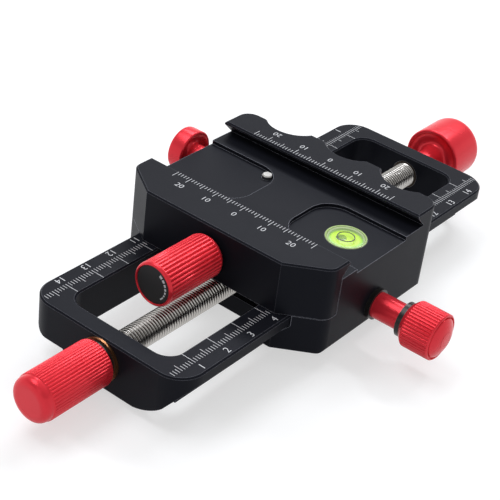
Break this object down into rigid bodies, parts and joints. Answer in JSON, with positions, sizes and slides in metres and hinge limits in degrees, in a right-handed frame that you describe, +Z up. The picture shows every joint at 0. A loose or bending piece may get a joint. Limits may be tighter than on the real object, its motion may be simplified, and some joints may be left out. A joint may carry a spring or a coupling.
{
  "type": "macro focusing rail",
  "caption": "Screw-driven camera focusing rail with a sliding carriage, dovetail quick-release clamp, carriage lock, plate stop and bubble level.",
  "frame": {"origin": "mouth of the tripod socket, in the underside of the rail's foot", "axes": "+X along the rail towards the smooth rear knob, +Y towards the plate stop's pull knob, +Z up"},
  "size_m": [0.2023, 0.1059, 0.0345],
  "materials": {
    "black_anodised": "satin",
    "red_anodised": "satin",
    "stainless_steel": "bright",
    "dark_steel": "blackened",
    "brass": "satin",
    "black_plastic": "matt",
    "level_shell": "clear yellow-green",
    "level_fill": "yellow-green liquid",
    "clear_lens": "clear"
  },
  "bodies": {
    "rail": {"rail_frame": "black_anodised", "tripod_bush": "stainless_steel", "front_bush": "brass", "rear_bush": "brass"},
    "drive_screw": {"leadscrew": "stainless_steel", "front_washer": "brass", "front_collar": "dark_steel", "front_knob": "red_anodised", "rear_spacer": "red_anodised", "rear_knob": "red_anodised"},
    "carriage": {"carriage_block": "black_anodised", "drive_nut": "brass", "nut_screw_1": "dark_steel", "nut_screw_2": "dark_steel", "nut_screw_3": "dark_steel", "nut_screw_4": "dark_steel", "left_gib": "black_plastic", "right_gib": "black_plastic", "left_jaw_pin": "stainless_steel", "right_jaw_pin": "stainless_steel", "level_cup": "level_shell", "level_liquid": "level_fill", "level_lens": "clear_lens", "plunger_sleeve": "red_anodised"},
    "clamp_jaw": {"movable_jaw": "black_anodised"},
    "clamp_handle": {"clamp_screw": "stainless_steel", "clamp_washer": "dark_steel", "clamp_knob": "red_anodised", "clamp_knob_cap": "black_plastic"},
    "lock_shoe": {"lock_pad": "brass"},
    "lock_handle": {"lock_screw": "stainless_steel", "lock_washer": "dark_steel", "lock_neck": "red_anodised", "lock_ring": "dark_steel", "lock_knob": "red_anodised"},
    "plunger": {"plunger_shaft": "stainless_steel", "pull_knob": "red_anodised"},
    "plate_stop": {"stop_pin": "stainless_steel"}
  },
  "joints": [
    {"name": "carriage_slide", "type": "slide", "parent": "rail", "child": "carriage", "axis": [1, 0, 0], "range_m": [-0.035, 0.038]},
    {"name": "screw_turn", "type": "hinge", "parent": "rail", "child": "drive_screw", "pos_m": [0, 0, 0.0112], "axis": [1, 0, 0], "range_deg": [-13680, 12600]},
    {"name": "jaw_slide", "type": "slide", "parent": "carriage", "child": "clamp_jaw", "axis": [-1, 0, 0], "range_m": [0, 0.004]},
    {"name": "clamp_turn", "type": "hinge", "parent": "clamp_jaw", "child": "clamp_handle", "pos_m": [-0.0332, 0, 0.0259], "axis": [-1, 0, 0], "range_deg": [0, 1440]},
    {"name": "lock_shoe_slide", "type": "slide", "parent": "carriage", "child": "lock_shoe", "axis": [0, -1, 0], "range_m": [0, 0.0008]},
    {"name": "lock_turn", "type": "hinge", "parent": "lock_shoe", "child": "lock_handle", "pos_m": [-0.0011, -0.036, 0.0125], "axis": [0, -1, 0], "range_deg": [0, 288]},
    {"name": "plunger_pull", "type": "slide", "parent": "carriage", "child": "plunger", "axis": [0, 1, 0], "range_m": [0, 0.003], "stiffness_N_per_m": 400, "springref_m": -0.002},
    {"name": "stop_drop", "type": "slide", "parent": "carriage", "child": "plate_stop", "axis": [0, 0, -1], "range_m": [0, 0.002]}
  ],
  "couplings": [
    {"joint": "screw_turn", "follows": "carriage_slide", "rad_per_m": -6283.2},
    {"joint": "clamp_turn", "follows": "jaw_slide", "rad_per_m": 6283.2},
    {"joint": "lock_turn", "follows": "lock_shoe_slide", "rad_per_m": 6283.2},
    {"joint": "stop_drop", "follows": "plunger_pull", "ratio": 0.66667}
  ]
}
